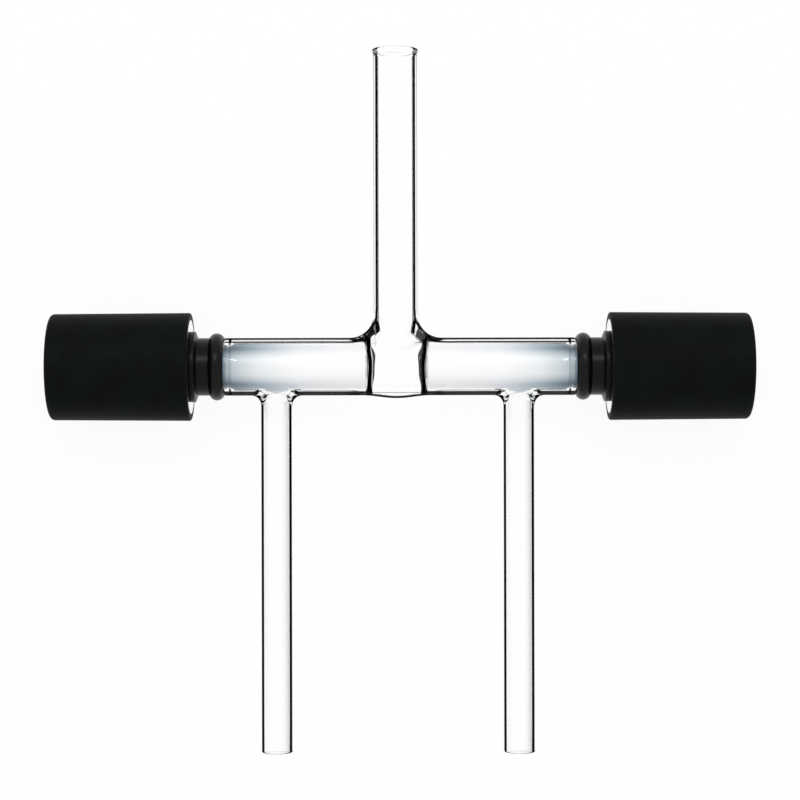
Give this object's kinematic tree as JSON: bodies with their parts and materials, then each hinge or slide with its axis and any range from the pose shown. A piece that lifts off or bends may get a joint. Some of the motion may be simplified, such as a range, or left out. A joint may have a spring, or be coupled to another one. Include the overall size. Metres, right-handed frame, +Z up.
{
  "type": "glass stopcock",
  "caption": "Clear lab glass stopcock: a straight barrel with a screw-down plug valve and black knob at each end, a wide stem tube on one side and thin arm tubes on the other.",
  "frame": {"origin": "on the table, under the middle of the part's outline as it lies on its back", "axes": "+X along the barrel to the right-hand knob, +Y towards the wide stem tube's rim, +Z up from the table through the front face"},
  "size_m": [0.2024, 0.2038, 0.0315],
  "materials": {
    "borosilicate_glass": "clear, fire polished",
    "ptfe": "turned, slightly waxy",
    "seal_rubber": "moulded",
    "ring_rubber": "moulded, satin",
    "black_acetal": "moulded, semi-matt",
    "knob_plastic": "moulded, matt",
    "stainless_steel": "turned"
  },
  "bodies": {
    "valve_body": {"glass_body": "borosilicate_glass", "left_bushing_front": "black_acetal", "left_bushing_back": "black_acetal", "left_bushing_ring": "ring_rubber", "right_bushing_front": "black_acetal", "right_bushing_back": "black_acetal", "right_bushing_ring": "ring_rubber"},
    "left_plug_set": {"left_plug": "ptfe", "left_inner_oring": "seal_rubber", "left_outer_oring": "seal_rubber", "left_thrust_washer": "ptfe", "left_screw_washer": "stainless_steel", "left_retaining_screw": "stainless_steel"},
    "left_knob_turner": {"left_knob": "knob_plastic"},
    "right_plug_set": {"right_plug": "ptfe", "right_inner_oring": "seal_rubber", "right_outer_oring": "seal_rubber", "right_thrust_washer": "ptfe", "right_screw_washer": "stainless_steel", "right_retaining_screw": "stainless_steel"},
    "right_knob_turner": {"right_knob": "knob_plastic"}
  },
  "joints": [
    {"name": "left_plug_slide", "type": "slide", "parent": "valve_body", "child": "left_plug_set", "axis": [-1, 0, 0], "range_m": [0, 0.008]},
    {"name": "left_knob_turn", "type": "hinge", "parent": "left_plug_set", "child": "left_knob_turner", "pos_m": [-0.08, 0.0097, 0.01565], "axis": [-1, 0, 0], "range_deg": [0, 1150]},
    {"name": "right_plug_slide", "type": "slide", "parent": "valve_body", "child": "right_plug_set", "axis": [1, 0, 0], "range_m": [0, 0.008]},
    {"name": "right_knob_turn", "type": "hinge", "parent": "right_plug_set", "child": "right_knob_turner", "pos_m": [0.08, 0.0097, 0.01565], "axis": [1, 0, 0], "range_deg": [0, 1150]}
  ],
  "couplings": [
    {"joint": "left_plug_slide", "follows": "left_knob_turn", "m_per_rad": 0.00039789},
    {"joint": "right_plug_slide", "follows": "right_knob_turn", "m_per_rad": 0.00039789}
  ]
}
